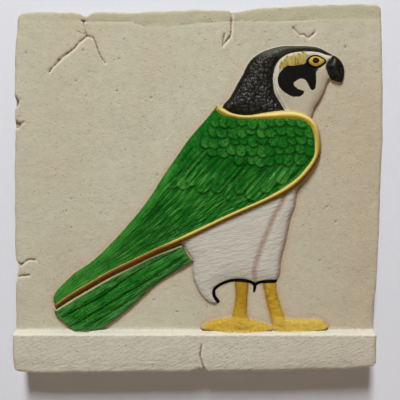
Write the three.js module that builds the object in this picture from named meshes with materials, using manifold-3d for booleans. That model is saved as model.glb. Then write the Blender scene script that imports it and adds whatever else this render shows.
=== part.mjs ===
import * as THREE from 'three';
import { mergeVertices } from 'three/addons/utils/BufferGeometryUtils.js';
import Module from 'manifold-3d';

// A plaster relief tile with a falcon in profile, cast in one piece like a piece of a temple wall.
// Millimetres, +Z up. The origin is the middle of the flat back, and the relief faces -Y.

// Tile
const tileWidth = 150;
const tileHeight = 149;
const tileThickness = 14; // from the back to the ground that the falcon stands out from
const tileEdgeRound = 1.2;
const tileEdgeRoundSteps = 2;

// Ledge along the foot of the tile
const ledgeHeight = 16.8; // from the tile's lower edge to the ledge's top, at the ground
const ledgeProjection = 5;
const ledgeTopRound = 1.4;
const ledgeFootWear = 2.4; // height of the worn lower edge
const ledgeFootWearDepth = 0.6;
const ledgeEndDraft = 0.7; // how far its ends stand in from the tile's sides

// Falcon, and how far its forms stand out from the ground
const falconHeight = 114.5;
const falconOffset = -1.1; // where its outlines' upright zero line stands, from the tile's middle
const footSink = 0.6; // how deep the soles stand below the ledge's top, at the ground
const formRoot = 2; // how deep each form is rooted below the ground
const wingBackProjection = 3;
const wingFrontProjection = 4.3;
const wingEdgeRound = 1.3;
const wingTipDrop = 1.2;
const bandProjection = 5;
const bandCrown = 0.4; // rise of the band's middle line over its sides
const bandWidth = 2;
const tailProjection = 2.2;
const tailGrooveDepth = 0.9;
const thighProjection = 3;
const bellyProjection = 2.5;
const hockProjection = 2.2;
const legProjection = 2.3;
const footProjection = 2.7;
const capProjection = 4.1;
const faceProjection = 3.4;
const beakProjection = 3.4;
const eyeProjection = 3.9;
const formLap = 0.8; // how far a form runs under its neighbour
const formEdge = 1; // height of the upright side around a rounded form

// Feathers. Lengths along the wing are shares of it from the neck down to the tip,
// and places across it are shares of its breadth from the back edge.
const featherTipFrom = 0.55; // share of a feather's length where its tip starts to round off
const featherTipNarrowing = 0.93;
const scalesFrom = 0.035;
const scalesAcross = [0.13, 0.94];
const scaleStep = 0.055; // from one row to the next
const scaleRows = 5;
const scaleCount = 10;
const scaleRelief = 0.6;
const scaleCrown = 0.25; // rise of a feather's middle line over its sides
const scaleOverlap = 1.35; // length of a scale over the step between rows
const scaleRoot = 1.2; // how deep a feather is rooted in the wing
const covertCount = 8;
const covertLength = 0.16;
const covertLengthSpread = 0.03;
const covertRelief = 0.7;
const covertGap = 0.0125;
const quillGrooves = 5;
const quillsAcross = [0.2, 0.82];
const quillRun = [0.46, 0.68];
const quillRunSpread = 0.02;
const quillGrooveWidth = 0.9;
const quillGrooveDepth = 0.5;

// Cracks and chips
const crackWidth = 0.9;
const crackDepth = 0.7;
const chipWidth = 4.6;
const chipReach = 4;
const chipOverhang = 0.3; // share of its reach that starts outside the edge
const chipDepth = 6;

// The tile's worn edges, as [share of the edge's length, millimetres worn off].
// The upper and lower edges run left to right, the sides run down.
const upperEdge = [
  [0.02, 3.8], [0.05, 3.3], [0.15, 3.3], [0.31, 3.5], [0.42, 2.6], [0.5, 2.3],
  [0.57, 2.4], [0.6, 3.4], [0.63, 2.5], [0.68, 1.5], [0.8, 0.5], [0.92, 0], [0.965, 0.4],
];
const rightEdge = [
  [0.025, 1.6], [0.06, 0.9], [0.15, 0.4], [0.25, 0], [0.35, 0.1], [0.48, 0.8], [0.6, 1.4],
  [0.7, 2.1], [0.78, 2.8], [0.84, 3.6], [0.9, 3.7], [0.95, 3.5],
];
const lowerEdge = [
  [0.015, 0.9], [0.05, 0.1], [0.33, 0.1], [0.49, 0.4], [0.517, 1.8], [0.54, 0.5], [0.74, 0.8],
  [0.87, 1.4], [0.93, 1.7], [0.965, 3.4],
];
const leftEdge = [
  [0.035, 1.8], [0.06, 0.7], [0.1, 0.2], [0.22, 0], [0.4, 0.3], [0.64, 0.1], [0.695, 0.4],
  [0.71, 1.5], [0.745, 1.4], [0.76, 0.6], [0.88, 0.7], [0.93, 0.8], [0.97, 1],
];

// Chips in the tile's edges: [edge, share of the edge's length, share of the full chip].
const chips = [
  ['left', 0.262, 0.9], ['left', 0.33, 1], ['upper', 0.186, 0.6], ['lower', 0.517, 0.5],
];

// Cracks in the ground, as [x, z] from the tile's middle.
const cracks = [
  [[-46.9, 71], [-46.7, 65.6], [-45.9, 61.8], [-43.3, 60.7], [-40.5, 53], [-38, 50]],
  [[-45.9, 61.8], [-49.8, 58.3], [-53.8, 54.2], [-57.5, 51.8], [-61.1, 46.5], [-62.4, 44.5]],
  [[14.3, 71.5], [13.1, 67.2], [12.3, 61.9], [10.2, 58.9], [9.6, 57.5]],
  [[38.6, 64.5], [41.1, 61.9], [44.1, 60.5], [47.9, 63.5]],
  [[-75, -30.5], [-72.1, -31.6], [-69.2, -29.5], [-66.4, -29.5]],
  [[-75, -36.4], [-72, -36.3], [-68.8, -35.8]],
];

// The falcon's outlines, as [across, up] in hundredths of its height, from the line that it stands on.
// The wing's two sides and its shoulder have their points in pairs, from the neck down to the tip.
const wingBack = [
  [7.2, 79.2], [3.8, 75], [0.3, 71], [-3.5, 66.4], [-7.2, 61], [-11.9, 54.2], [-16.4, 47],
  [-22.4, 39.3], [-29.4, 31.5], [-36.4, 24.8], [-42.7, 20.5], [-47.2, 16.3], [-49.5, 13.8],
  [-50.4, 11.4], [-50, 9.6],
];
const wingFront = [
  [35.3, 76.2], [39.5, 74.3], [42.1, 70.3], [42.9, 64.7], [41.4, 59.3], [38.1, 54.4], [31.8, 49.3],
  [22.4, 44.6], [10.5, 39.2], [-3.5, 32.5], [-18.2, 25.5], [-32.2, 18.4], [-41.3, 13.2],
  [-46.5, 10.2], [-49.1, 8.4],
];
const shoulder = [
  [7.2, 79.2], [9.4, 77.8], [11.5, 76.4], [14, 75.5], [17.5, 75.2], [21.3, 75.5], [25.9, 76.2],
  [30.8, 76.9], [35.3, 76.2],
];
const tailUpper = [[-3.5, 31.8], [-16.1, 26.6], [-30.1, 19.6], [-40.6, 13.6], [-49, 8.7]];
const tailLower = [
  [-1.9, 24.5], [-9.8, 19.4], [-16.1, 15], [-23.8, 8], [-29.4, 3.5], [-33.9, 0.5], [-39.2, -0.1],
  [-44.1, 0.5], [-46.9, 3], [-49.3, 4.9], [-50, 7.2],
];
const thighBack = [[-5.6, 33.6], [-3.8, 29], [-1.7, 24.8], [-1.6, 21.7], [-1.1, 17.8]];
const fold = [
  [31.8, 52.4], [29.4, 45.8], [26.6, 39.2], [23.8, 32.2], [21.3, 25.2], [20.1, 20.3], [20.1, 15.9],
];
const hem = [
  [-1.1, 17.8], [2.8, 15.6], [6.8, 15.2], [9.1, 16.6], [12.2, 17.5], [15.7, 17.8], [18.5, 17.1],
  [20.1, 15.9],
];
const belly = [
  [38.5, 55.2], [35.3, 47.2], [33, 39.2], [31.3, 31.5], [29.7, 24.5], [29, 19.6], [28.3, 16.8],
];
const hockOuter = [[-1.7, 21.3], [-0.9, 16.8], [0.7, 13.5], [2.8, 11], [4.9, 9.9], [7.5, 9.7]];
const hockInner = [[9.1, 17.5], [6.8, 15], [6.3, 13.1], [6.9, 11.4], [7.9, 10.3]];
const nearLegBack = [[13.4, 19.2], [13.3, 14], [12.9, 9.4], [12.4, 5.6], [12.1, 3.1]];
const nearLegFront = [[17.9, 19.2], [17.8, 14], [17.5, 9.4], [17.5, 5.6], [18.2, 3.1]];
const nearFootTop = [
  [1.2, 1.3], [3, 2.4], [5.2, 3.7], [8.4, 4.3], [11.9, 4.8], [17.5, 4.5], [20.3, 3.6], [23.1, 2.9],
  [25, 2], [26, 0.9],
];
const nearFootSole = [[1.4, 0.7], [7, 0.1], [13.6, -0.3], [19.6, -0.1], [26, 0.3]];
const farLegBack = [[23, 19.2], [23.5, 14.7], [24.7, 9.4], [25.7, 4.2], [26.2, 2.1]];
const farLegFront = [[27.1, 19.2], [27.8, 14.7], [29.1, 9.4], [30.6, 5.4], [31.8, 2.8]];
const farFootTop = [
  [25.7, 4.2], [29.4, 4.7], [32.9, 4.1], [37.8, 4], [42.3, 4.1], [44.2, 3.1], [46.2, 1.5],
];
const farFootSole = [[26.4, 0.7], [31.1, 0.2], [38.5, 0.3], [46.2, 0.9]];
const crown = [
  [48.4, 96.6], [45.5, 98], [42.7, 99.4], [39.5, 100], [34.6, 100], [29.7, 99.9], [25.5, 99],
  [21.7, 97.4], [18.4, 94.6], [15.9, 89.9], [13.3, 85.3], [11.4, 81.8], [8.4, 78.7], [8, 75.5],
];
const capEdge = [
  [48.1, 96], [45.5, 97.1], [42.7, 98], [39.2, 98.3], [35.7, 98], [32.2, 97.5], [29.7, 96.3],
  [27.8, 93.9], [26.7, 90.6], [26.5, 86.7], [27.3, 82.9], [29.4, 79.7], [30.8, 76.9], [31.1, 74.1],
];
const throat = [
  [47, 87.8], [45.8, 86.4], [44.9, 84.6], [43.9, 82.2], [42.5, 79.7], [41.4, 77.6], [40.6, 74.8],
  [40.2, 72.4],
];
const beakTop = [[48.1, 96.7], [49.7, 95.7], [51, 93.9], [51.7, 91.4], [51.4, 88.8], [50.7, 87.2]];
const beakRoot = [[47.2, 95.6], [46.3, 93.7], [45.8, 91.8], [46.3, 89.7], [47.4, 88], [49.8, 87.3]];
const eyeUpper = [[38.6, 94.6], [40, 95.9], [41.8, 96.5], [43.7, 95.8], [45.4, 94.2]];
const eyeLower = [[38.7, 94.1], [40, 92.8], [41.8, 92.2], [43.7, 92.7], [45.3, 93.6]];

const wasm = await Module();
wasm.setup();

function solidOf(geometry) {
  geometry.deleteAttribute('normal');
  geometry.deleteAttribute('uv');
  const merged = mergeVertices(geometry, 1e-4);
  const mesh = new wasm.Mesh({
    numProp: 3,
    vertProperties: new Float32Array(merged.attributes.position.array),
    triVerts: new Uint32Array(merged.index.array),
  });
  return new wasm.Manifold(mesh);
}

// A box whose grid is bent into a form: bend(across, along, onFront) gives [x, z, height over the ground].
function bentBlock(bend, columns, rows) {
  const block = new THREE.BoxGeometry(1, 1, 1, columns, 1, rows);
  const corners = block.attributes.position;
  for (let i = 0; i < corners.count; i += 1) {
    const onFront = corners.getY(i) < 0;
    const [x, z, height] = bend(corners.getX(i) + 0.5, corners.getZ(i) + 0.5, onFront);
    corners.setXYZ(i, x, -tileThickness - height, z);
  }
  const sense = new THREE.Vector3(...bend(1, 0.5, true)).sub(new THREE.Vector3(...bend(0, 0.5, true)));
  const run = new THREE.Vector3(...bend(0.5, 0.6, true)).sub(new THREE.Vector3(...bend(0.5, 0.4, true)));
  const mirrored = sense.x * run.y - sense.y * run.x < 0;
  if (mirrored) {
    const triangles = block.index.array;
    for (let i = 0; i < triangles.length; i += 3) {
      [triangles[i], triangles[i + 1]] = [triangles[i + 1], triangles[i]];
    }
  }
  return solidOf(block);
}

const falconFoot = new THREE.Vector2(falconOffset, ledgeHeight - tileHeight / 2 - footSink);

// A curve through an outline's points, moved sideways by a lap where it runs under a neighbouring form.
function falconCurve(shares, lap = 0) {
  const points = shares.map(([across, up]) => {
    return new THREE.Vector2(across, up).multiplyScalar(falconHeight / 100).add(falconFoot);
  });
  const curve = new THREE.SplineCurve(points);
  if (lap === 0) {
    return curve;
  }
  const moved = points.map((point, i) => {
    const tangent = curve.getTangent(i / (points.length - 1));
    return new THREE.Vector2(point.x - lap * tangent.y, point.y + lap * tangent.x);
  });
  return new THREE.SplineCurve(moved);
}

// Fills the area between a left and a right curve, and bends its ends to a top and a bottom curve.
function fillBetween(left, right, { top, bottom, paired = false } = {}) {
  const at = (curve, t) => (paired ? curve.getPoint(t) : curve.getPointAt(t));
  const endShift = (end, t, across) => {
    if (!end) {
      return new THREE.Vector2();
    }
    return end.getPointAt(across).sub(at(left, t).lerp(at(right, t), across));
  };
  return (across, along) => {
    const point = at(left, along).lerp(at(right, along), across);
    point.addScaledVector(endShift(top, 0, across), 1 - along);
    return point.addScaledVector(endShift(bottom, 1, across), along);
  };
}

// A rounded form over a filled area, with an upright edge all round.
function roundedForm(area, projection, columns, rows, { openSide = 0.5 } = {}) {
  const bend = (across, along, onFront) => {
    const turn = Math.PI * across;
    const point = area((1 - Math.cos(turn)) / 2, along);
    const rise = across < 1 - openSide ? Math.sin(turn) : Math.max(Math.sin(turn), 2 * openSide - 1);
    const height = onFront ? formEdge + (projection - formEdge) * rise : -formRoot;
    return [point.x, point.y, height];
  };
  return bentBlock(bend, columns, rows);
}

function tileOutline() {
  const left = -tileWidth / 2;
  const low = -tileHeight / 2;
  const up = upperEdge.map(([share, worn]) => [left + share * tileWidth, -low - worn]);
  const right = rightEdge.map(([share, worn]) => [-left - worn, -low - share * tileHeight]);
  const down = lowerEdge.map(([share, worn]) => [left + share * tileWidth, low + worn]);
  const back = leftEdge.map(([share, worn]) => [left + worn, -low - share * tileHeight]);
  const corners = [...up, ...right, ...down.reverse(), ...back.reverse()];
  return new THREE.Shape(corners.map(([x, z]) => new THREE.Vector2(x, z)));
}

// The tile's outline as a slab from the back to the given depth, drawn in at its edges by a draft.
function slab(thickness, draft) {
  const geometry = new THREE.ExtrudeGeometry(tileOutline(), {
    depth: thickness - tileEdgeRound,
    bevelThickness: tileEdgeRound,
    bevelSize: tileEdgeRound,
    bevelOffset: -tileEdgeRound,
    bevelSegments: tileEdgeRoundSteps,
  });
  geometry.scale(1 - (2 * draft) / tileWidth, 1 - (2 * draft) / tileHeight, 1).rotateX(Math.PI / 2);
  const behind = new THREE.BoxGeometry(2 * tileWidth, tileThickness, 2 * tileHeight);
  behind.translate(0, tileThickness / 2, 0);
  return solidOf(geometry).subtract(solidOf(behind));
}

// The ledge's section, swept over the tile's width and cut to the tile's outline.
function ledge() {
  const top = ledgeHeight - tileHeight / 2;
  const foot = -tileHeight / 2;
  const section = new THREE.Shape();
  section.moveTo(-formRoot, top);
  section.lineTo(0, top);
  section.lineTo(ledgeProjection - ledgeTopRound, top - ledgeTopRound / 4);
  const lip = [ledgeProjection, top - ledgeTopRound / 3, ledgeProjection, top - 1.5 * ledgeTopRound];
  section.quadraticCurveTo(...lip);
  section.lineTo(ledgeProjection, foot + 2 * ledgeFootWear);
  section.lineTo(ledgeProjection - ledgeFootWearDepth, foot + ledgeFootWear);
  section.lineTo(ledgeProjection - ledgeFootWearDepth, foot - ledgeFootWear);
  section.lineTo(-formRoot, foot - ledgeFootWear);
  const options = { depth: tileWidth, bevelEnabled: false, curveSegments: 3 };
  const sweep = new THREE.ExtrudeGeometry(section, options);
  // The section's height over the ground turns to -Y, and the sweep runs along X.
  const turn = new THREE.Matrix4().makeBasis(
    new THREE.Vector3(0, -1, 0),
    new THREE.Vector3(0, 0, 1),
    new THREE.Vector3(-1, 0, 0),
  );
  sweep.applyMatrix4(turn).translate(tileWidth / 2, -tileThickness, 0);
  return slab(tileThickness + ledgeProjection, ledgeEndDraft).intersect(solidOf(sweep));
}

const wingArea = fillBetween(falconCurve(wingBack), falconCurve(wingFront), {
  top: falconCurve(shoulder),
  paired: true,
});

function wingHeight(across, along) {
  const level = wingBackProjection + (wingFrontProjection - wingBackProjection) * across;
  const shoulderOff = Math.max(0, 1 - across / 0.1) ** 2;
  return level - wingEdgeRound * shoulderOff - wingTipDrop * along;
}

function wing() {
  const bend = (across, along, onFront) => {
    const share = (1 - Math.cos(Math.PI * across)) / 2;
    const point = wingArea(share, along);
    return [point.x, point.y, onFront ? wingHeight(share, along) : -formRoot];
  };
  return bentBlock(bend, 7, 24);
}

// The raised band runs over the shoulder and down the front of the wing to its tip.
function wingBand() {
  const front = falconCurve([...shoulder.slice(0, -1), ...wingFront]);
  const bend = (across, along, onFront) => {
    const point = front.getPointAt(along);
    const tangent = front.getTangentAt(along);
    const inward = new THREE.Vector2(tangent.y, -tangent.x);
    point.addScaledVector(inward, bandWidth * across);
    const crownRise = Math.sin(Math.PI * across);
    const level = bandProjection + bandCrown * (crownRise - 1);
    return [point.x, point.y, onFront ? level - wingTipDrop * along ** 2 : -formRoot];
  };
  return bentBlock(bend, 2, 40);
}

// A feather laid down the wing: narrow at its root, rounded at its tip, which stands proud of the wing.
function feather(middle, width, start, length, relief, rows) {
  const bend = (across, along, onFront) => {
    const past = Math.max(0, (along - featherTipFrom) / (1 - featherTipFrom));
    const halfWidth = (width / 2) * Math.sqrt(1 - featherTipNarrowing * past ** 2);
    const share = THREE.MathUtils.clamp(middle + (2 * across - 1) * halfWidth, 0.02, 0.98);
    const run = start + along * length;
    const point = wingArea(share, run);
    const surface = wingHeight(share, run);
    const crownRise = scaleCrown * Math.sin(Math.PI * across);
    const height = onFront ? surface + relief * (along - 0.1) + crownRise : surface - scaleRoot;
    return [point.x, point.y, height];
  };
  return bentBlock(bend, 2, rows);
}

function scaleFeathers() {
  const [first, last] = scalesAcross;
  const pitch = (last - first) / scaleCount;
  const feathers = [];
  for (let row = 0; row < scaleRows; row += 1) {
    const shift = row % 2 === 0 ? 0.5 : 1;
    const count = row % 2 === 0 ? scaleCount : scaleCount - 1;
    for (let i = 0; i < count; i += 1) {
      const middle = first + (i + shift) * pitch;
      const start = scalesFrom + row * scaleStep;
      feathers.push(feather(middle, pitch * 0.98, start, scaleStep * scaleOverlap, scaleRelief, 4));
    }
  }
  return feathers;
}

function coverts() {
  const [first, last] = scalesAcross;
  const pitch = (last - first) / covertCount;
  const start = scalesFrom + (scaleRows - 0.4) * scaleStep;
  return Array.from({ length: covertCount }, (_, i) => {
    const length = covertLength + covertLengthSpread * Math.sin(2.4 * i);
    return feather(first + (i + 0.5) * pitch, pitch - covertGap, start, length, covertRelief, 6);
  });
}

// A groove along a curve, narrow at its foot and running out at both ends.
function groove(curve, width, depth, surface, rows) {
  const bend = (across, along, onFront) => {
    const point = curve.getPointAt(along);
    const tangent = curve.getTangentAt(along);
    const normal = new THREE.Vector2(-tangent.y, tangent.x);
    const fade = Math.sin(Math.PI * (0.06 + 0.88 * along)) ** 0.5;
    const breadth = (onFront ? width : width / 8) * fade;
    point.addScaledVector(normal, (across - 0.5) * breadth);
    const level = surface(along);
    return [point.x, point.y, onFront ? level + depth / 4 : level - depth * fade];
  };
  return bentBlock(bend, 1, rows);
}

function quills() {
  const [first, last] = quillsAcross;
  return Array.from({ length: quillGrooves }, (_, i) => {
    const share = first + ((last - first) * i) / (quillGrooves - 1);
    const from = quillRun[0] - quillRunSpread * (i % 2);
    const to = quillRun[1] - 1.5 * quillRunSpread * (i % 3);
    const run = (t) => from + (to - from) * t;
    const steps = [0, 0.25, 0.5, 0.75, 1].map((t) => wingArea(share, run(t)));
    const surface = (t) => wingHeight(share, run(t));
    return groove(new THREE.SplineCurve(steps), quillGrooveWidth, quillGrooveDepth, surface, 6);
  });
}

// The tail's feathers are ridges along it, with a groove between each two.
function tail() {
  const area = fillBetween(falconCurve(tailUpper), falconCurve(tailLower));
  const bend = (across, along, onFront) => {
    const point = area(across, along);
    const step = Math.round(across * 8);
    const inGroove = step % 2 === 0 && step > 0 && step < 8;
    const rim = step === 8 ? formEdge - tailProjection : 0;
    const height = tailProjection + rim - (inGroove ? tailGrooveDepth : 0);
    return [point.x, point.y, onFront ? height : -formRoot];
  };
  return bentBlock(bend, 8, 14);
}

function body() {
  const creaseCurve = falconCurve(fold);
  const thigh = fillBetween(falconCurve(thighBack), creaseCurve, { bottom: falconCurve(hem) });
  const chest = fillBetween(falconCurve(fold, -formLap), falconCurve(belly));
  const hock = fillBetween(falconCurve(hockOuter), falconCurve(hockInner));
  return [
    roundedForm(thigh, thighProjection, 6, 10),
    roundedForm(chest, bellyProjection, 5, 10),
    roundedForm(hock, hockProjection, 4, 6),
  ];
}

function legs() {
  const between = (a, b) => fillBetween(falconCurve(a), falconCurve(b));
  return [
    roundedForm(between(nearLegBack, nearLegFront), legProjection, 4, 5),
    roundedForm(between(nearFootTop, nearFootSole), footProjection, 4, 12),
    roundedForm(between(farLegBack, farLegFront), legProjection, 4, 5),
    roundedForm(between(farFootTop, farFootSole), footProjection, 4, 9),
  ];
}

function head() {
  const between = (a, b) => fillBetween(falconCurve(a), falconCurve(b));
  const face = fillBetween(falconCurve(throat), falconCurve(capEdge, -formLap));
  return [
    roundedForm(between(crown, capEdge), capProjection, 6, 16, { openSide: 0.97 }),
    roundedForm(face, faceProjection, 6, 12, { openSide: 0.97 }),
    roundedForm(between(beakTop, beakRoot), beakProjection, 4, 8, { openSide: 0.9 }),
    roundedForm(between(eyeUpper, eyeLower), eyeProjection, 4, 8),
  ];
}

const chipEdges = {
  left: (share) => [-tileWidth / 2, (0.5 - share) * tileHeight, 1, 0],
  upper: (share) => [(share - 0.5) * tileWidth, tileHeight / 2 - 3.3, 0, -1],
  lower: (share) => [(share - 0.5) * tileWidth, -tileHeight / 2, 0, 1],
};

// A chip is a wedge that is wide and deep at the edge and runs out to a point inside it.
function chip([edge, share, size]) {
  const [x, z, inX, inZ] = chipEdges[edge](share);
  const surface = edge === 'lower' ? ledgeProjection : 0;
  const bend = (across, along, onFront) => {
    const reach = (along * (1 + chipOverhang) - chipOverhang) * chipReach * size;
    const left = 1.05 - along;
    const breadth = left * chipWidth * size * (across - 0.5);
    const height = onFront ? surface + 1 : surface - chipDepth * size * left;
    return [x + inX * reach - inZ * breadth, z + inZ * reach + inX * breadth, height];
  };
  return bentBlock(bend, 2, 3);
}

function crack(points) {
  const curve = new THREE.SplineCurve(points.map(([x, z]) => new THREE.Vector2(x, z)));
  return groove(curve, crackWidth, crackDepth, () => 0, 3 * points.length);
}

function casting() {
  const raised = [ledge(), wing(), tail(), ...body(), ...legs(), ...head()];
  let tile = raised.reduce((whole, form) => whole.add(form), slab(tileThickness, 0));
  tile = quills().reduce((whole, cut) => whole.subtract(cut), tile);
  const laidOn = [...coverts(), ...scaleFeathers(), wingBand()];
  tile = laidOn.reduce((whole, form) => whole.add(form), tile);
  const cuts = [...chips.map(chip), ...cracks.map(crack)];
  return cuts.reduce((whole, cut) => whole.subtract(cut), tile);
}

function geometryOf(solid) {
  const mesh = solid.getMesh();
  const geometry = new THREE.BufferGeometry();
  geometry.setAttribute('position', new THREE.BufferAttribute(mesh.vertProperties, 3));
  geometry.setIndex(new THREE.BufferAttribute(mesh.triVerts, 1));
  geometry.computeVertexNormals();
  return geometry;
}

const plaster = new THREE.MeshStandardMaterial({ color: 0xbbb59d, roughness: 0.9, metalness: 0 });

const tileMesh = new THREE.Mesh(geometryOf(casting()), plaster);
tileMesh.name = 'falcon_relief_tile';

const group = new THREE.Group();
group.add(tileMesh);

export default group;
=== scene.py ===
import math

import bmesh
import bpy
import numpy as np
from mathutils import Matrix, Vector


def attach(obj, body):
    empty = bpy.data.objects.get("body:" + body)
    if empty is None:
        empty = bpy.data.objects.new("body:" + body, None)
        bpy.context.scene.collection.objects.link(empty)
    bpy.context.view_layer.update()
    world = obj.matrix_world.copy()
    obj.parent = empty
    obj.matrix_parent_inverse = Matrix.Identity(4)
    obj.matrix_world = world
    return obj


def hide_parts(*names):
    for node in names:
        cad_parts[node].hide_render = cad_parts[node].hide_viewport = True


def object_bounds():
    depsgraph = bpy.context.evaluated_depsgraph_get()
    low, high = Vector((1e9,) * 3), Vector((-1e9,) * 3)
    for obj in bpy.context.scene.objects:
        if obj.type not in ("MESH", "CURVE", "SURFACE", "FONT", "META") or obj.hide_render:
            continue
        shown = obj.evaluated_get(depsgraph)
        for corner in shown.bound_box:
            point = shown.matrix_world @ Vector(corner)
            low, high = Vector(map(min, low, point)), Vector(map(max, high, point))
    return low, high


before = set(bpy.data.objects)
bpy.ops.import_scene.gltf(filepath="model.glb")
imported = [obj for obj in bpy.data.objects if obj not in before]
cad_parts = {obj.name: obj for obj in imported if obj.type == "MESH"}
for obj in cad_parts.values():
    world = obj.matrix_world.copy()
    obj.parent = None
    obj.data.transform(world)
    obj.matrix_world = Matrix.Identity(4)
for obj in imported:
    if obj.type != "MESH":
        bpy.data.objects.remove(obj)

mm = 0.001
castNode = "falcon_relief_tile"
cadLow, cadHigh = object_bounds()
print("stage: frame loaded")

# The tile, in millimetres. Its ground is the surface that the falcon stands out from.
tile = {
    "width": (cadHigh.x - cadLow.x) / mm,
    "height": 149,
    "thickness": 14,
    "cell": 1.5,
    "cornerRound": 2.2,
    "edgeRound": 1.3,
    "waviness": 0.16,
    "sideRows": 7,
    "sideRoughness": 0.07,
    "backEdgeRound": 0.8,
}

# Wear along the four edges, as (share of the edge, millimetres worn off).
# The upper and lower edges run left to right, the sides run down.
edgeWear = {
    "upper": [(0.0, 3.6), (0.05, 3.3), (0.15, 3.3), (0.175, 4.2), (0.187, 5.4), (0.194, 4.3), (0.205, 3.4),
              (0.3, 3.5), (0.42, 2.6), (0.5, 2.3), (0.57, 2.4), (0.605, 3.5), (0.63, 2.5), (0.68, 1.5),
              (0.8, 0.5), (0.92, 0.0), (1.0, 0.3)],
    "right": [(0.0, 0.8), (0.06, 0.7), (0.15, 0.4), (0.25, 0.0), (0.35, 0.1), (0.48, 0.8), (0.6, 1.4),
              (0.7, 2.1), (0.78, 2.8), (0.84, 3.6), (0.9, 4.0), (1.0, 4.3)],
    "lower": [(0.0, 0.6), (0.05, 0.1), (0.33, 0.1), (0.49, 0.4), (0.517, 1.9), (0.54, 0.5), (0.74, 0.8),
              (0.87, 1.4), (0.93, 1.7), (1.0, 2.8)],
    "left": [(0.0, 1.4), (0.06, 0.7), (0.1, 0.2), (0.22, 0.0), (0.25, 0), (0.275, 0.2), (0.3, 0),
             (0.312, 0), (0.33, 0.4), (0.345, 0.3), (0.4, 0.2), (0.64, 0.1), (0.695, 0.5), (0.71, 1.5),
             (0.745, 1.4), (0.76, 0.6), (0.88, 0.7), (0.93, 0.8), (1.0, 0.8)],
    "unevenness": 0.13,
}

# The ledge along the foot of the tile
ledge = {
    "top": -57.4,
    "lip": -58.9,
    "projection": 5.0,
    "wornLine": -69.6,
    "footWear": 0.5,
    "lipWidth": 0.85,
    "slopeHollow": 1.6,
    "ridge": [(-58, -71), (-45, -71.2), (-32.5, -69.6), (-20, -69.8), (-8, -71), (0, -71.2), (20, -70.2),
              (40, -70.6)],
    "ridgeRise": 0.12,
}

# The falcon stands on the ledge. Its outlines and lines are in hundredths of its height, across and up.
falcon = {
    "height": 115,
    "footX": -0.6,
    "footZ": -58.3,
    "wallWidth": 0.42,
}

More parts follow.
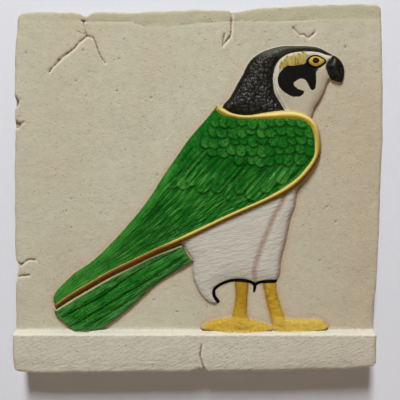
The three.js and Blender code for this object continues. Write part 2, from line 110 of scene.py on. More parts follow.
outlines = {
    "wingBack": [(7.2, 79.2), (3.8, 75), (0.3, 71), (-3.5, 66.4), (-7.2, 61), (-11.9, 54.2), (-16.4, 47),
                 (-22.4, 39.3), (-29.4, 31.5), (-36.4, 24.8), (-42.7, 20.5), (-47.2, 16.3), (-49.5, 13.8),
                 (-50.5, 11.4), (-50, 9.5), (-49.5, 8.4)],
    "bandOuter": [(7.2, 79.2), (9.4, 77.8), (11.5, 76.3), (14, 75.5), (17.5, 75.2), (21.3, 75.6),
                  (27.6, 76.5), (31.1, 76.9), (33.9, 76.6), (36.4, 75.9), (38.8, 74.8), (40.6, 73.4),
                  (41.7, 71.7), (42.5, 69), (42.9, 64.7), (42.6, 62), (40.9, 58.4), (38.5, 54.9),
                  (34.6, 51), (29.4, 47.7), (22.4, 44.6), (15.4, 41.5), (8.4, 38.3), (-2.1, 33.2),
                  (-9.1, 29.9), (-16.1, 26.6), (-23.1, 22.9), (-30.1, 19.6), (-37.1, 15.6), (-44.1, 11.5),
                  (-49.5, 8.2)],
    "bandInner": [(6.3, 77.1), (8, 75.9), (10.4, 74.9), (12.6, 74.6), (15.4, 74.1), (24.1, 74.1),
                  (32.9, 74.1), (35.5, 73.8), (37.4, 73.1), (38.8, 71.9), (39.9, 69.9), (40.5, 67.5),
                  (40.6, 62.8), (39.9, 60.3), (38.5, 58.2), (34.6, 53.8), (29.4, 50), (22.4, 46.2),
                  (11.9, 41.6), (-2.1, 35), (-16.1, 28.5), (-30.1, 21.7), (-37.1, 17.7), (-44.1, 13.5),
                  (-49.9, 9.3)],
    "tailUpper": [(-49.3, 8.2), (-44.1, 11.5), (-37.1, 15.6), (-30.1, 19.6), (-16.1, 26.6), (-5.6, 30.6)],
    "tailRight": [(-5.6, 30.6), (-4.5, 28.7), (-3.5, 26.9), (-1.4, 24.5)],
    "tailLower": [(-1.4, 24.5), (-4.5, 22.6), (-9.1, 19.9), (-16.1, 15), (-23.8, 8), (-29.4, 3.5),
                  (-32.2, 1.4), (-34.6, 0.4), (-38.8, -0.1), (-42, -0.1), (-44.1, 0.5), (-47.6, 3.5),
                  (-49.3, 4.9), (-50.2, 7.2), (-49.3, 8.2)],
    "bodyLeft": [(-6, 32), (-4.5, 29.4), (-2.3, 26), (-1.4, 24.5), (-1.6, 22.4), (-1.4, 19.9), (-0.9, 17.1),
                 (1, 13.3), (2.4, 11.4), (4.2, 10.1), (5.9, 9.6), (7.3, 9.9)],
    "bodyFoot": [(7.3, 9.9), (6.4, 11.4), (5.9, 12.8), (5.9, 14.3), (7, 15.6), (9.1, 16.8), (11.9, 17.7),
                 (14.7, 17.9), (17.1, 17.7), (18.9, 17.1), (20.3, 16.4), (21.7, 17), (23.8, 17.4),
                 (25.9, 17.5), (28, 17.3)],
    "bodyRight": [(28, 17.3), (28.8, 18.9), (29.4, 21.7), (29.7, 25.2), (31.5, 32.2), (32.9, 39.2),
                  (34.3, 42.7), (35, 46.2), (35.4, 48.6), (37, 52.5), (38.3, 55.5)],
    "underWing": [(38.3, 55.5), (32, 60), (12, 54), (-8, 42), (-8, 36), (-6, 32)],
    "throat": [(38.3, 55.5), (39.5, 66), (40.1, 74), (40.6, 76.2), (41.3, 78.3), (42.7, 80.4), (44.1, 82.9),
               (45.1, 85.3), (45.8, 87.4), (46.6, 88.4)],
    "beak": [(47.8, 96.8), (49.3, 96), (50.5, 94.8), (51.4, 93), (51.7, 91.3), (51.6, 89.4), (51.1, 87.9),
             (50.1, 87.4), (48.3, 87.7), (46.9, 88.4), (45.9, 89.6), (45.2, 91.3), (44.9, 92.8),
             (45.6, 94.3), (46.6, 95.6)],
    "crown": [(48.6, 96.2), (45.5, 98), (42.7, 99.4), (39.5, 100), (34.6, 100.1), (29.7, 100), (25.5, 99),
              (21.7, 97.4), (18.4, 94.6), (15.9, 89.9), (13.3, 85.3), (11.4, 81.8), (9.3, 79.6), (8.6, 77)],
    "capEdge": [(31.5, 73.5), (31, 76.5), (30, 78.6), (28.7, 80.8), (27.3, 83.2), (26.7, 86), (26.6, 89.2),
                (27.2, 92.4), (28.6, 95), (30.6, 96.7), (33, 97.7), (36.4, 98.2), (40, 98.2), (43, 97.8),
                (45.5, 96.9), (48.6, 96.2)],
    "mark": [(30.2, 92), (31.7, 92.8), (33.4, 92.7), (36.9, 93.3), (38.4, 94.3), (39.2, 92.9), (40.4, 92),
             (41.9, 91.7), (43.2, 92.2), (41.5, 90.7), (41.4, 88), (41.2, 85.3), (40.3, 84.2), (39.5, 84.5),
             (38.3, 86.8), (37.4, 87.9), (36, 88.2), (34.6, 87.6), (33.5, 86.5), (34, 85.5), (35.3, 84.6),
             (37.2, 83.8), (36.7, 82.6), (35.3, 82), (33.1, 82), (31, 83.1), (29.1, 84.6), (28.2, 86.6),
             (28.1, 88.7), (28.8, 90.5)],
    "eyeRim": [(37.9, 94.3), (39, 96), (41.1, 96.8), (43.2, 96.2), (45.1, 94.4), (43.4, 92.5), (41.3, 91.7),
               (39.1, 92.4)],
    "eyeWhite": [(38.8, 94.3), (39.6, 95.6), (41.1, 96.1), (42.8, 95.6), (44.3, 94.4), (42.9, 93),
                 (41.3, 92.5), (39.6, 93.1)],
    "pupilRim": [(40, 94.4), (40.4, 95.2), (41.2, 95.5), (42, 95.1), (42.4, 94.4), (42, 93.7), (41.2, 93.4),
                 (40.3, 93.7)],
    "ochrePatch": [(28.4, 91.8), (29.4, 94), (31, 95.7), (33.8, 97), (38, 97.4), (37.9, 95), (37.8, 92.2),
                   (36.4, 92.8), (34.6, 92.2), (32.9, 92.8), (30.6, 92)],
    "nearLeg": [(13.5, 19), (13.5, 12.9), (13.1, 9.4), (12.6, 7), (12.2, 4), (12.6, 0.6), (18.6, 0.6),
                (18.4, 4), (17.6, 5.6), (17.4, 7.7), (17.6, 11.2), (17.9, 15.7), (17.9, 19)],
    "nearFoot": [(1.3, 1), (2.8, 2.2), (5, 3.6), (7.8, 4.2), (10.5, 4.6), (12.6, 5.1), (15, 4.6),
                 (18.8, 4.1), (21.8, 3.2), (24.2, 2.6), (25.9, 1.5), (26, 0.5), (22.8, 0), (18.2, -0.1),
                 (13.6, -0.1), (9, 0), (4.9, 0.3)],
    "farLeg": [(23.2, 18.5), (23.6, 14), (24.6, 9.4), (25.4, 6.3), (26, 3), (26.5, 1.5), (31, 1.5),
               (30.6, 5), (29.4, 8.4), (28.7, 11.2), (27.9, 14), (27.2, 18.5)],
    "farFoot": [(26.2, 3), (28, 5), (32.9, 4.2), (38, 4.1), (42.7, 4.2), (44.4, 3.3), (45.3, 2.2),
                (45.8, 1.3), (43.3, 0.4), (36.4, 0.1), (31.1, 0), (26.7, 0.4)],
}

lines = {
    "crease": [(31, 49), (29.4, 44.4), (27.6, 41.4), (26.2, 38.5), (24.6, 34.6), (23.1, 31), (21.7, 27.3),
               (20.6, 23.8), (19.9, 20.6), (20.3, 16.4)],
    "hem": [(7.4, 10.2), (6.6, 11.2), (5.9, 12.6), (5.9, 14.3), (7, 15.6), (9.1, 16.8), (11.9, 17.7),
            (14.7, 17.9), (17.1, 17.7), (18.9, 17.1), (20.3, 16.3), (21.7, 17), (23.8, 17.4), (25.9, 17.5),
            (27.6, 17.5)],
    "hemSpur": [(20.3, 16.5), (20.2, 13.8)],
    "tailFirst": [(-47.2, 5), (-33.6, 12.2), (-26.6, 17), (-19.6, 21.7), (-12.6, 25.5), (-6.3, 29)],
    "tailSecond": [(-44.1, 1.6), (-37.1, 5.9), (-26.6, 12.2), (-16.1, 18.5), (-4.5, 26.6)],
    "tailThird": [(-39.5, 1.4), (-30.1, 6.6), (-23.1, 11.2), (-12.6, 18.2), (-3.1, 24.8)],
}

# Cracks, chips and pits in the ground, in millimetres from the middle of the tile
damage = {
    "cracks": [
        [(-47.6, 67.4), (-46.9, 67.2), (-46.3, 67.1)],
        [(-45.3, 61.3), (-49, 58.3), (-50.6, 56.2), (-53.8, 53.8), (-57.1, 51.4)],
        [(-55.9, 52), (-57.5, 50.4), (-59.3, 48.6), (-60.7, 46.7)],
        [(-45.3, 61.3), (-42.9, 60.5), (-41.7, 58.3), (-40.9, 55.4), (-39.6, 52.6), (-38, 50.4)],
        [(13.3, 70), (13.1, 63.5), (12.7, 61.1), (11.4, 59.5), (9.8, 57.9)],
        [(10.4, 61.9), (9.8, 59.5), (9.6, 57.3)],
        [(38.4, 64.5), (41.1, 61.7), (42.7, 61.9), (44.3, 60.5), (46.3, 62.1), (47.1, 62.9)],
        [(-75, -30.1), (-73.9, -30.5), (-72.1, -31.6), (-69.2, -29.5), (-66.4, -29.5)],
        [(-74, -36.3), (-72.9, -36.2), (-68.8, -35.8)],
        [(1.1, -63), (0.5, -67), (1.7, -71.3), (2.5, -73.5)],
    ],
    # How far aside and down the painted highlight beside each crack lies
    "highlightOffset": (0.45, -0.6),
    "crackWidth": 0.42,
    "crackDepth": 0.75,
    "hairlineDepth": 0.25,
    "rimLineDepth": 0.3,
    "stripDepth": 0.18,
    "hairlines": [
        [(-46.9, 67.2), (-46.8, 65.2), (-45.9, 63.2), (-45.3, 61.3)],
        [(-50.6, 63.9), (-46.5, 62.3)],
        [(-65.6, 33.4), (-63.8, 33)],
        [(-2.5, 64.6), (-1.6, 63.8)],
        [(-1, 62.1), (1.2, 62.4)],
    ],
    "rimLine": [(-46.9, 67.2), (-27.9, 67.4), (-21.4, 65.2), (-10.9, 65), (-7.6, 66), (0.5, 66.8),
                (13.5, 67.4), (28.9, 67.4), (47.1, 68)],
    "chips": [
        [(-77, 38.2), (-74, 37), (-72.9, 35.8), (-71.3, 36.2), (-72.3, 34.3), (-73.4, 32), (-77, 30.6)],
        [(-77, 29), (-74.1, 27.8), (-72.9, 26.7), (-71.1, 26.8), (-70, 25.9), (-71.5, 25), (-73, 23.2),
         (-77, 22.4)],
        [(-77, -29.6), (-74, -30.2), (-72.4, -31.9), (-73.4, -34.4), (-77, -35)],
        [(-48.6, 77), (-47.6, 70.5), (-46.8, 69.4), (-45.9, 70.6), (-44.6, 77)],
        [(11.2, 77), (12.4, 70), (13.4, 68.9), (14.4, 70), (16, 77)],
        [(-0.4, -77), (0.8, -73.4), (2, -72), (3.2, -73.4), (4.6, -77)],
        [(65.5, -77), (66.4, -74), (68.8, -72), (75, -70.6), (77, -77)],
    ],
    "chipDepth": 1.5,
    "pits": [(-70.1, 54.2), (-70.1, 42), (-33.2, 38.8), (-32.3, 33.5), (-32.3, 51.8), (-30.3, 59.9),
             (-44.5, 46.5), (-45.7, 36.8), (-49.8, 42.9), (-46.9, 55.4), (59.5, 56.6), (28.9, 59.3),
             (33.3, 71.9), (-19.4, 36), (-19.8, 23.4), (-16.9, 4.7), (-51.8, -5), (-53.8, -9.9), (52, 24.2),
             (49.2, -30.1), (46.7, -52), (-18.2, -46), (-8.8, -50.8), (52, -8.2), (55.6, -14.3)],
    "pitRadius": 0.46,
    "pitDepth": 0.7,
}

# The wing's three tiers of feathers. Tips are in hundredths like the outlines, sizes in millimetres.
plumage = {
    "level": 3,
    "frontRise": 1.2,
    "tipDrop": 1.3,
    "backRound": 2,
    "scaleTips": [71.2, 68, 64.7, 61.4, 58.1],
    "scaleFrom": [5.5, 3.6, 2.4, 3.5, 14.8],
    "scaleTo": [38.6, 40, 39.9, 39.4, 36.5],
    "scalePitch": 3.36,
    "scaleWidth": 4.1,
    "scaleLength": 6.5,
    "scaleLift": 0.6,
    "scaleTurn": 258,
    "covertTips": [(-13.5, 53.6), (-10.3, 50.4), (-6.3, 50.2), (-2.9, 51.3), (0.6, 48.9), (5.6, 48.9),
                   (10.2, 46.4), (13.7, 48.4), (17.6, 46.3), (22.6, 48.9), (27.9, 51.9)],
    "covertWidth": 4.9,
    "covertLength": 19,
    "covertLift": 0.6,
    "covertTurn": 229,
    "primaries": 7,
    "primaryGroove": 0.2,
    "barbPitch": 1.15,
    "barbRelief": 0.06,
    "bandSpread": 0.45,
    "combPitch": 2.05,
    "combRelief": 0.09,
}

# The gold band along the front of the wing
band = {
    "crest": 4.9,
    "tipDrop": 1.6,
    "crestAt": 0.62,
    "edge": 0.4,
    "edgeShare": 0.35,
}

# The other forms rise from a base to base + rise over the distance "round" from their outline.
forms = {
    "tail": {"base": 1.1, "rise": 1.1, "round": 1.3, "grooveDepth": 0.6, "grooveWidth": 0.4,
             "barbRelief": 0.1},
    "leg": {"base": 0.5, "rise": 1.8, "round": 2.3, "barRelief": 0.04},
    "foot": {"base": 0.7, "rise": 2, "round": 2, "onLedge": 0.9, "toePitch": 1.2, "toeRelief": 0.07},
    "body": {"base": 0.45, "rise": 2.3, "round": 8, "flankDepth": 0.9, "flankWidth": 1.3, "creaseDepth": 0.55,
             "creaseWidth": 1.25, "barPitch": 1.25, "barRelief": 0.08, "hemDepth": 0.15},
    "face": {"base": 1.1, "rise": 2.2, "round": 5, "markDepth": 0.12},
    "beak": {"base": 1.0, "rise": 2.4, "round": 4},
    "eye": {"socketDepth": 0.5, "ballRise": 0.55, "ballRound": 1.2, "pupilRise": 0.25, "pupilRound": 0.8},
    "cap": {"base": 1.3, "rise": 2.8, "round": 5.5, "pebblePitch": 1.25, "pebbleRelief": 0.42},
}

# The grid is made finer twice, within these millimetres of the figure, the ledge's lip and the damage
detail = {
    "coarse": {"figure": 2.2, "lip": 2.6, "damage": 2.4},
    "fine": {"figure": 1.0, "lip": 1.3, "damage": 1.0},
    "lipLine": -58.4,
    "rimSides": 71,
    "rimTop": 66,
    "rimFoot": -71,
    "plainDepth": 1.5,
    "creaseWidth": 2,
}

figureParts = ("wing", "tail", "body", "face", "cap", "beak", "nearLeg", "nearFoot", "farLeg", "farFoot")
unset = -12.0  # an area's depth where nothing was measured


def toMillimetres(shares):
    scale = falcon["height"] / 100
    return np.array(shares, float) * scale + (falcon["footX"], falcon["footZ"])


def smoothed(points, steps=5):
    p = np.vstack([2 * points[0] - points[1], points, 2 * points[-1] - points[-2]])
    t = (np.arange(steps) / steps)[None, :, None]
    a, b, c, d = (p[i:len(p) - 3 + i, None, :] for i in range(4))
    curve = b + 0.5 * t * (c - a + t * (2 * a - 5 * b + 4 * c - d + t * (3 * (b - c) + d - a)))
    return np.vstack([curve.reshape(-1, 2), points[-1:]])


def joined(*names):
    parts = []
    for name in names:
        backwards = name.startswith("-")
        part = smoothed(toMillimetres(outlines[name.lstrip("-")]))
        parts.append(part[::-1] if backwards else part)
    return np.vstack(parts)


def rounded(name):
    ring = toMillimetres(outlines[name])
    closed = np.vstack([ring[-1:], ring, ring[:2]])
    return smoothed(closed)[5:-5]


def stretchDistance(points, stretches):
    nearest = np.full(len(points), 1e6)
    for start, end in stretches:
        run = end - start
        offset = points - start
        t = np.clip(offset @ run / max(run @ run, 1e-9), 0, 1)
        gap = offset - t[:, None] * run
        nearest = np.minimum(nearest, gap[:, 0] ** 2 + gap[:, 1] ** 2)
    return np.sqrt(nearest)


def lineDistance(points, line):
    return stretchDistance(points, zip(line[:-1], line[1:]))


def linesDistance(points, lines):
    return np.min([lineDistance(points, np.array(line, float)) for line in lines], axis=0)


# Millimetres inside a closed outline, negative outside it
def areaDistance(points, ring):
    found = np.full(len(points), unset)
    low, high = ring.min(0) + unset, ring.max(0) - unset
    near = ((points > low) & (points < high)).all(1)
    some = points[near]
    ring = np.vstack([ring, ring[:1]])
    inside = np.zeros(len(some), bool)
    for start, end in zip(ring[:-1], ring[1:]):
        if start[1] == end[1]:
            continue
        spans = (start[1] > some[:, 1]) != (end[1] > some[:, 1])
        crossing = start[0] + (some[:, 1] - start[1]) * (end[0] - start[0]) / (end[1] - start[1])
        inside ^= spans & (some[:, 0] < crossing)
    distance = lineDistance(some, ring)
    found[near] = np.maximum(np.where(inside, distance, -distance), unset)
    return found


def ridge(distance, width):
    return np.exp(-(distance / width) ** 2)


def step(low, high, value):
    t = np.clip((value - low) / (high - low), 0, 1)
    return t * t * (3 - 2 * t)


def dome(depth, radius):
    t = 1 - np.clip(depth / radius, 0, 1)
    return np.sqrt(1 - t * t)


def swelling(form, depth):
    return form["base"] + form["rise"] * dome(depth, form["round"])


def softNoise(points, pitch, seed):
    lattice = np.random.RandomState(seed).uniform(-1, 1, (64, 64))
    cells = points / pitch + 1000
    low = np.floor(cells).astype(int)
    t = cells - low
    t = t * t * (3 - 2 * t)
    x, y = low[:, 0] % 64, low[:, 1] % 64
    x1, y1 = (x + 1) % 64, (y + 1) % 64
    lower = lattice[x, y] * (1 - t[:, 0]) + lattice[x1, y] * t[:, 0]
    upper = lattice[x, y1] * (1 - t[:, 0]) + lattice[x1, y1] * t[:, 0]
    return lower * (1 - t[:, 1]) + upper * t[:, 1]


def pebbles(points, pitch, seed):
    jitter = np.random.RandomState(seed).uniform(0.15, 0.85, (64, 64, 2))
    cells = points / pitch + 1000
    home = np.floor(cells).astype(int)
    nearest = np.full(len(points), 9.0)
    for right in (-1, 0, 1):
        for up in (-1, 0, 1):
            cell = home + (right, up)
            centre = cell + jitter[cell[:, 0] % 64, cell[:, 1] % 64]
            nearest = np.minimum(nearest, ((cells - centre) ** 2).sum(1))
    return np.clip(1 - nearest / 0.3, 0, 1)


wingBackLine = smoothed(toMillimetres(outlines["wingBack"]))
bandInnerLine = smoothed(toMillimetres(outlines["bandInner"]))
rings = {
    "wing": joined("wingBack", "-bandOuter"),
    "green": joined("wingBack", "-bandInner"),
    "tail": joined("tailUpper", "tailRight", "tailLower"),
    "body": joined("bodyLeft", "bodyFoot", "bodyRight", "underWing"),
    "face": joined("throat", "-capEdge"),
    "cap": joined("crown", "capEdge"),
    "beak": rounded("beak"),
    "mark": rounded("mark"),
    "eyeRim": rounded("eyeRim"),
    "eyeWhite": rounded("eyeWhite"),
    "pupilRim": rounded("pupilRim"),
    "ochrePatch": rounded("ochrePatch"),
    "nearLeg": rounded("nearLeg"),
    "nearFoot": rounded("nearFoot"),
    "farLeg": rounded("farLeg"),
    "farFoot": rounded("farFoot"),
}


def measureRegions(points):
    areas = {name: areaDistance(points, ring) for name, ring in rings.items()}
    areas["figure"] = np.max([areas[name] for name in figureParts], axis=0)
    for name, line in lines.items():
        areas[name] = lineDistance(points, smoothed(toMillimetres(line)))
    areas["hem"] = np.minimum(areas["hem"], areas["hemSpur"])
    areas["tailGroove"] = np.min([areas[name] for name in ("tailFirst", "tailSecond", "tailThird")], axis=0)
    areas["crack"] = linesDistance(points, damage["cracks"])
    areas["crackHighlight"] = linesDistance(points - damage["highlightOffset"], damage["cracks"])
    areas["hairline"] = linesDistance(points, damage["hairlines"])
    areas["rimLine"] = linesDistance(points, [damage["rimLine"]])
    chips = [areaDistance(points, np.array(chip, float)) for chip in damage["chips"]]
    areas["chip"] = np.max(chips, axis=0)
    pick = np.random.RandomState(5)
    pits = [np.hypot(*(points - pit).T) * pick.uniform(0.85, 2) for pit in damage["pits"]]
    areas["pit"] = np.min(pits, axis=0)
    areas["topStrip"] = points[:, 1] - np.interp(points[:, 0], *np.array(damage["rimLine"], float).T)
    areas["flank"] = lineDistance(points, smoothed(toMillimetres(outlines["bodyRight"])))
    areas["throatLine"] = lineDistance(points, smoothed(toMillimetres(outlines["throat"])))
    areas["ledgeLip"] = ledge["lipWidth"] - np.abs(points[:, 1] - ledge["lip"] - 0.3)
    areas["wornRidge"] = lineDistance(points, smoothed(np.array(ledge["ridge"], float)))
    areas["tailEdge"] = lineDistance(points, smoothed(toMillimetres(outlines["tailUpper"])))
    back, front = lineDistance(points, wingBackLine), lineDistance(points, bandInnerLine)
    areas["wingAcross"] = back / (back + front + 1e-6)
    tip, neck = toMillimetres([outlines["wingBack"][-1], outlines["wingBack"][0]])
    areas["wingAlong"] = np.clip((points - neck) @ (tip - neck) / ((tip - neck) @ (tip - neck)), 0, 1)
    spread = step(0.5, 0.85, areas["wingAcross"]) * step(0.75, 0.5, areas["wingAlong"])
    areas["wing"] += plumage["bandSpread"] * spread
    return areas


def layFeather(points, surface, grooveAndShadow, toneAndHighlight, tip, turn, width, length, lift, level, shade, sideLine,
               tipLine):
    radius = width / 2
    heading = np.array([math.cos(math.radians(turn)), math.sin(math.radians(turn))])
    offset = points - tip
    back = -(offset @ heading)
    side = offset @ np.array([-heading[1], heading[0]])
    inside = np.where(back < radius, radius - np.hypot(side, radius - back), radius - np.abs(side))
    inside = np.minimum(inside, length - back)
    near = inside > -1.5
    mask = step(-0.3, 0.2, inside)
    rise = lift * (1 - 0.75 * np.clip(back / length, 0, 1)) + 0.22 * (1 - (side / radius) ** 2).clip(-1, 1)
    surface[near] += (mask * (level + rise - surface))[near]
    # Painted shadow: a dark line just outside the feather's tip and sides, where the feather above casts its
    # shade
    rimShadow = ridge(inside + 0.3, 0.48) * (length - back > 0.6)
    rimShadow *= sideLine + (tipLine - sideLine) * step(0.5 * length, 0.1 * length, back)
    grooveAndShadow[near] = np.maximum(grooveAndShadow * (1 - mask), rimShadow)[near]
    # Painted highlight near the feather's tip, added to the feather's own random tone
    lit = shade + 0.35 * step(1.6, 0.3, inside) * step(0.5 * length, 0, back)
    toneAndHighlight[near] += (mask * (lit - toneAndHighlight))[near]


def shapeWing(points, areas):
    across, along = areas["wingAcross"], areas["wingAlong"]
    level = plumage["level"] + plumage["frontRise"] * across - plumage["tipDrop"] * along ** 2
    back = lineDistance(points, wingBackLine)
    level = level - 1.2 * np.clip(1 - back / plumage["backRound"], 0, 1) ** 2
    count = plumage["primaries"]
    phase = (across * count) % 1
    breadth = np.clip(areas["wing"] * 2, 0.5, 40) / count
    edge = np.minimum(phase, 1 - phase) * breadth
    deep = 0.7 * step(0.33, 0.5, along) * step(0.85, 0.6, along)
    # Grooves between the primaries, also darkened in the paint as painted shade
    grooveAndShadow = deep * step(0.1, 0.2, across) * step(0.97, 0.88, across) * ridge(edge, 0.45)
    surface = level - plumage["primaryGroove"] * grooveAndShadow
    wobble = 0.35 * softNoise(points, 4, 3)
    combTurn = math.radians(plumage["covertTurn"])
    spread = points @ np.array([math.sin(combTurn), -math.cos(combTurn)])
    barbs = np.sin((spread + wobble) * 2 * math.pi / plumage["barbPitch"])
    surface += plumage["barbRelief"] * barbs * step(0.3, 0.42, along) * step(1.0, 0.75, along)
    # Random tone, to which painted highlights near the feather tips are added
    toneAndHighlight = 0.15 * softNoise(points, 3, 5)
    pick = np.random.RandomState(17)
    scale = falcon["height"] / 100
    for tip in plumage["covertTips"]:
        shade = pick.uniform(-0.25, 0.3)
        turn = plumage["covertTurn"] + pick.uniform(-2, 2)
        width = plumage["covertWidth"] * pick.uniform(0.85, 1.1)
        lift = plumage["covertLift"] * pick.uniform(0.4, 1)
        layFeather(points, surface, grooveAndShadow, toneAndHighlight, toMillimetres([tip])[0], turn, width,
                   plumage["covertLength"], lift, level, shade, 0.95, pick.uniform(0.25, 0.85))
    for row in reversed(range(len(plumage["scaleTips"]))):
        start, end = plumage["scaleFrom"][row], plumage["scaleTo"][row]
        place = start + 0.5 * plumage["scalePitch"] * (row % 2)
        while place < end:
            up = plumage["scaleTips"][row] + pick.uniform(-0.7, 0.7) - 0.03 * max(0, 14 - place)
            tip = toMillimetres([(place + pick.uniform(-0.45, 0.45), up)])[0]
            turn = plumage["scaleTurn"] + 0.25 * (place - 20) + pick.uniform(-12, 12)
            width = plumage["scaleWidth"] * pick.uniform(0.9, 1.2)
            layFeather(points, surface, grooveAndShadow, toneAndHighlight, tip, turn, width, plumage["scaleLength"],
                       plumage["scaleLift"], level, pick.uniform(-0.35, 0.35), 0.5, 1)
            place += plumage["scalePitch"]
    lower = step(65.5, 59, (points[:, 1] - falcon["footZ"]) / scale) * step(0.72, 0.5, along)
    combed = np.sin((spread + 0.5 * softNoise(points, 7, 23)) * 2 * math.pi / plumage["combPitch"])
    surface += plumage["combRelief"] * combed * lower
    grooveAndShadow = np.maximum(grooveAndShadow, 0.75 * step(-0.4, -0.9, combed) * lower)
    border = step(12, 7, points[:, 1]) * step(0.55, 0.4, across)
    rimFade = step(0.6 + 1.6 * border, 3 + 1.4 * border, back) * step(0, 0.9, areas["green"])
    surface = level + (surface - level) * rimFade
    surface += 0.09 * softNoise(points, 0.9, 8) * rimFade
    return surface, grooveAndShadow * rimFade, toneAndHighlight * rimFade, level


def shapeBand(areas, level, under):
    outer, inner = areas["wing"], areas["green"]
    across = np.clip(outer / np.maximum(outer - inner, 1e-3), 0, 1)
    crest = band["crest"] - band["tipDrop"] * areas["wingAlong"] ** 2
    low = np.clip(under, band["edge"] + band["edgeShare"] * crest, crest - 1)
    outerSlope = low + (crest - low) * np.sin(np.clip(across / band["crestAt"], 0, 1) * math.pi / 2)
    innerSlope = crest - (crest - level) * step(band["crestAt"], 1.05, across)
    return np.where(across < band["crestAt"], outerSlope, innerSlope)


def shapeGround(points, areas, edge):
    x, z = points.T
    ground = tile["waviness"] * softNoise(points, 22, 1) + 0.06 * softNoise(points, 6, 2)
    ground += 0.035 * softNoise(points, 1.7, 4)
    ledgeTop = ledge["top"] + 0.15 * softNoise(points, 14, 6)
    slope = ledge["top"] - ledge["lip"] + 0.15 * softNoise(points, 1.5, 7)
    shelf = np.clip((ledgeTop - z) / slope, 0, 1) ** ledge["slopeHollow"]
    front = ledge["projection"] - ledge["footWear"] * step(ledge["wornLine"] + 1, ledge["wornLine"] - 3, z)
    ground = ground + (front + ledge["ridgeRise"] * ridge(areas["wornRidge"], 0.5)) * shelf
    broken = damage["crackDepth"] * (0.75 + 0.4 * softNoise(points, 1.6, 9))
    width = damage["crackWidth"] * (1 + 0.5 * softNoise(points, 1.1, 10))
    ground -= broken * ridge(areas["crack"], width)
    ground -= damage["hairlineDepth"] * ridge(areas["hairline"], 0.4)
    strip = step(-0.5, 0.5, areas["topStrip"]) * (0.3 + 0.7 * step(-60, -46, x))
    ground -= damage["rimLineDepth"] * ridge(areas["rimLine"], 0.4) + damage["stripDepth"] * strip
    ground -= damage["pitDepth"] * ridge(areas["pit"], damage["pitRadius"])
    chipped = step(-0.3, 1.5, areas["chip"]) * (1 + 0.5 * softNoise(points, 1.3, 11))
    ground -= damage["chipDepth"] * chipped * (1 + 0.18 * np.clip(areas["chip"], 0, 4))
    radius = tile["edgeRound"] * (1 + 0.45 * softNoise(points, 9, 12))
    inward = np.clip(1 - edge / radius, 0, 1)
    return ground - radius * (1 - np.sqrt(np.clip(1 - inward ** 2, 0, 1)))


def blendOver(height, form, inside):
    wall = falcon["wallWidth"]
    return height + (form - height) * step(-wall, wall, inside)


def shapeFront(points, areas, edge):
    x, z = points.T
    height = shapeGround(points, areas, edge)

    form = forms["tail"]
    tailForm = swelling(form, areas["tail"])
    tailForm -= form["grooveDepth"] * ridge(areas["tailGroove"], form["grooveWidth"])
    run = points @ np.array([-0.5, 0.86])
    tailForm += form["barbRelief"] * np.sin(run * 2 * math.pi + softNoise(points, 5, 21))
    height = blendOver(height, tailForm + 0.05 * softNoise(points, 0.8, 22), areas["tail"])

    form = forms["leg"]
    for leg in ("nearLeg", "farLeg"):
        bars = np.sin(z * 2 * math.pi + 2.5 * softNoise(points, 2, 31))
        legForm = swelling(form, areas[leg]) + form["barRelief"] * bars + 0.06 * softNoise(points, 0.8, 33)
        height = np.maximum(height, blendOver(height, legForm, areas[leg]))
    form = forms["foot"]
    for foot in ("nearFoot", "farFoot"):
        swell = dome(areas[foot] + 2 * step(-55.6, -57, z), form["round"])
        footForm = np.maximum(form["base"] + form["rise"] * swell, height + form["onLedge"] * swell)
        toes = np.sin(x * 2 * math.pi / form["toePitch"] + 2 * softNoise(points, 2, 34))
        footForm += 0.06 * softNoise(points, 0.8, 32) + form["toeRelief"] * toes
        height = np.maximum(height, blendOver(height, footForm, areas[foot]))

    form = forms["body"]
    bodyForm = swelling(form, areas["body"])
    bodyForm -= form["flankDepth"] * ridge(areas["flank"], form["flankWidth"])
    bodyForm -= form["creaseDepth"] * ridge(areas["crease"], form["creaseWidth"])
    barred = np.sin(z * 2 * math.pi / form["barPitch"] + 1.5 * softNoise(points, 6, 41))
    bodyForm += form["barRelief"] * step(12, 0, np.abs(z + 27)) * barred + 0.05 * softNoise(points, 1.4, 42)
    height = blendOver(height, bodyForm - form["hemDepth"] * ridge(areas["hem"], 0.5), areas["body"])

    form = forms["face"]
    faceForm = swelling(form, areas["face"]) - form["markDepth"] * step(-0.2, 0.3, areas["mark"])
    height = blendOver(height, faceForm + 0.04 * softNoise(points, 1.5, 51), areas["face"])
    height = blendOver(height, swelling(forms["beak"], areas["beak"]), areas["beak"])
    form = forms["eye"]
    socket = height - form["socketDepth"] * ridge(areas["eyeRim"] - 0.1, 0.6)
    height = np.where(areas["eyeRim"] > -1.5, socket, height)
    ball, pupil = areas["eyeWhite"], areas["pupilRim"]
    height += form["ballRise"] * dome(ball.clip(0), form["ballRound"]) * step(-0.2, 0.2, ball)
    height += form["pupilRise"] * dome(pupil.clip(0), form["pupilRound"]) * step(-0.1, 0.2, pupil)

    form = forms["cap"]
    pebbled = pebbles(points, form["pebblePitch"], 61) * step(0.6, 2, areas["cap"])
    capForm = swelling(form, areas["cap"]) + form["pebbleRelief"] * pebbled
    height = blendOver(height, capForm + 0.08 * softNoise(points, 0.9, 62), areas["cap"])

    wingForm, grooveAndShadow, toneAndHighlight, level = shapeWing(points, areas)
    bandForm = shapeBand(areas, level, height)
    over = np.where(areas["green"] > 0, wingForm, bandForm)
    height = blendOver(height, over, areas["wing"] + 0.15)
    areas["featherGrooveShadow"] = grooveAndShadow
    areas["featherToneAndHighlight"] = toneAndHighlight
    areas["pebble"] = pebbled
    return height


